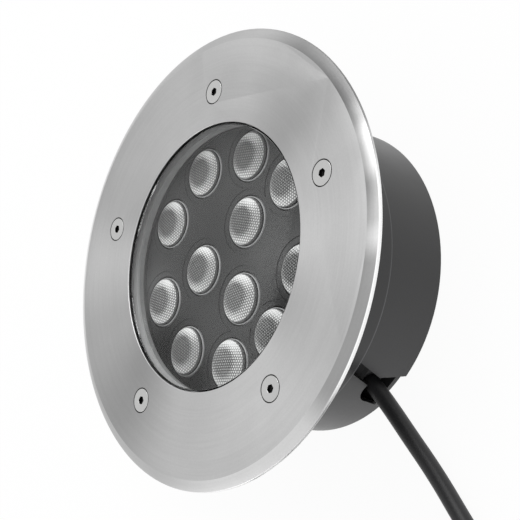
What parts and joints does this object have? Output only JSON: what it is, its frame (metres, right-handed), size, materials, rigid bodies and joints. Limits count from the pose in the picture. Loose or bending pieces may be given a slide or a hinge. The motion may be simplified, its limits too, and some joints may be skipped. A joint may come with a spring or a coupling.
{
  "type": "in ground well light",
  "caption": "Round recessed ground light: steel face ring, thick clear glass over a dark lens plate, black mounting sleeve with a cable notch, supply cord with bare end.",
  "frame": {"origin": "on the lamp's axis at the rear rim of the mounting sleeve", "axes": "+Z along the axis towards the face, +X towards the cable notch where the cord leaves"},
  "size_m": [0.2953, 0.2047, 0.064],
  "materials": {
    "stainless": "satin turned stainless steel",
    "screw_steel": "bright stainless steel",
    "clear_glass": "clear toughened glass",
    "cast_housing": "dark powder-coated casting",
    "dark_plate": "dark grey, semi-gloss",
    "clear_lens": "clear moulding with a bead-textured front",
    "holder_plastic": "light grey moulding",
    "led_package": "ceramic with a yellow phosphor dome",
    "board_aluminium": "white-coated aluminium board",
    "thermal_silicone": "soft blue-grey pad",
    "lead_insulation": "red insulation",
    "circuit_board": "green board",
    "winding_tape": "yellow tape",
    "capacitor_sleeve": "dark blue sleeve",
    "terminal_plastic": "green moulding",
    "seal_rubber": "black silicone rubber",
    "gland_plastic": "black nylon",
    "sleeve_plastic": "black moulding, satin",
    "cord_rubber": "black sheath",
    "tie_plastic": "black nylon tie",
    "core_insulation_brown": "brown core",
    "core_insulation_blue": "blue core",
    "core_insulation_earth": "green and yellow core",
    "bare_copper": "bare copper strands"
  },
  "bodies": {
    "root": {"face_ring": "stainless", "face_screws": "screw_steel", "glass_gasket_upper": "seal_rubber", "cover_glass": "clear_glass", "glass_gasket_lower": "seal_rubber", "lamp_housing": "cast_housing", "lens_plate": "dark_plate", "lens_1": "clear_lens", "lens_2": "clear_lens", "lens_3": "clear_lens", "lens_4": "clear_lens", "lens_5": "clear_lens", "lens_6": "clear_lens", "lens_7": "clear_lens", "lens_8": "clear_lens", "lens_9": "clear_lens", "lens_10": "clear_lens", "lens_11": "clear_lens", "lens_12": "clear_lens", "lens_holders": "holder_plastic", "leds": "led_package", "led_board": "board_aluminium", "thermal_pad": "thermal_silicone", "board_screws": "screw_steel", "lead_grommet": "seal_rubber", "led_leads": "lead_insulation", "driver_board": "circuit_board", "driver_transformer": "winding_tape", "driver_capacitors": "capacitor_sleeve", "terminal_block": "terminal_plastic", "driver_screws": "screw_steel", "back_cover": "cast_housing", "back_cover_gasket": "seal_rubber", "back_cover_screws": "screw_steel", "gland_body": "gland_plastic", "gland_seal": "seal_rubber", "gland_nut": "gland_plastic", "cord_inner": "cord_rubber", "supply_cores": "core_insulation_brown", "mounting_sleeve": "sleeve_plastic", "flange_seal": "seal_rubber", "sleeve_o_ring": "seal_rubber", "supply_cord": "cord_rubber", "cord_coil": "cord_rubber", "cord_tail": "cord_rubber", "coil_tie": "tie_plastic", "core_brown": "core_insulation_brown", "core_blue": "core_insulation_blue", "core_earth": "core_insulation_earth", "core_tips": "bare_copper"}
  },
  "joints": []
}
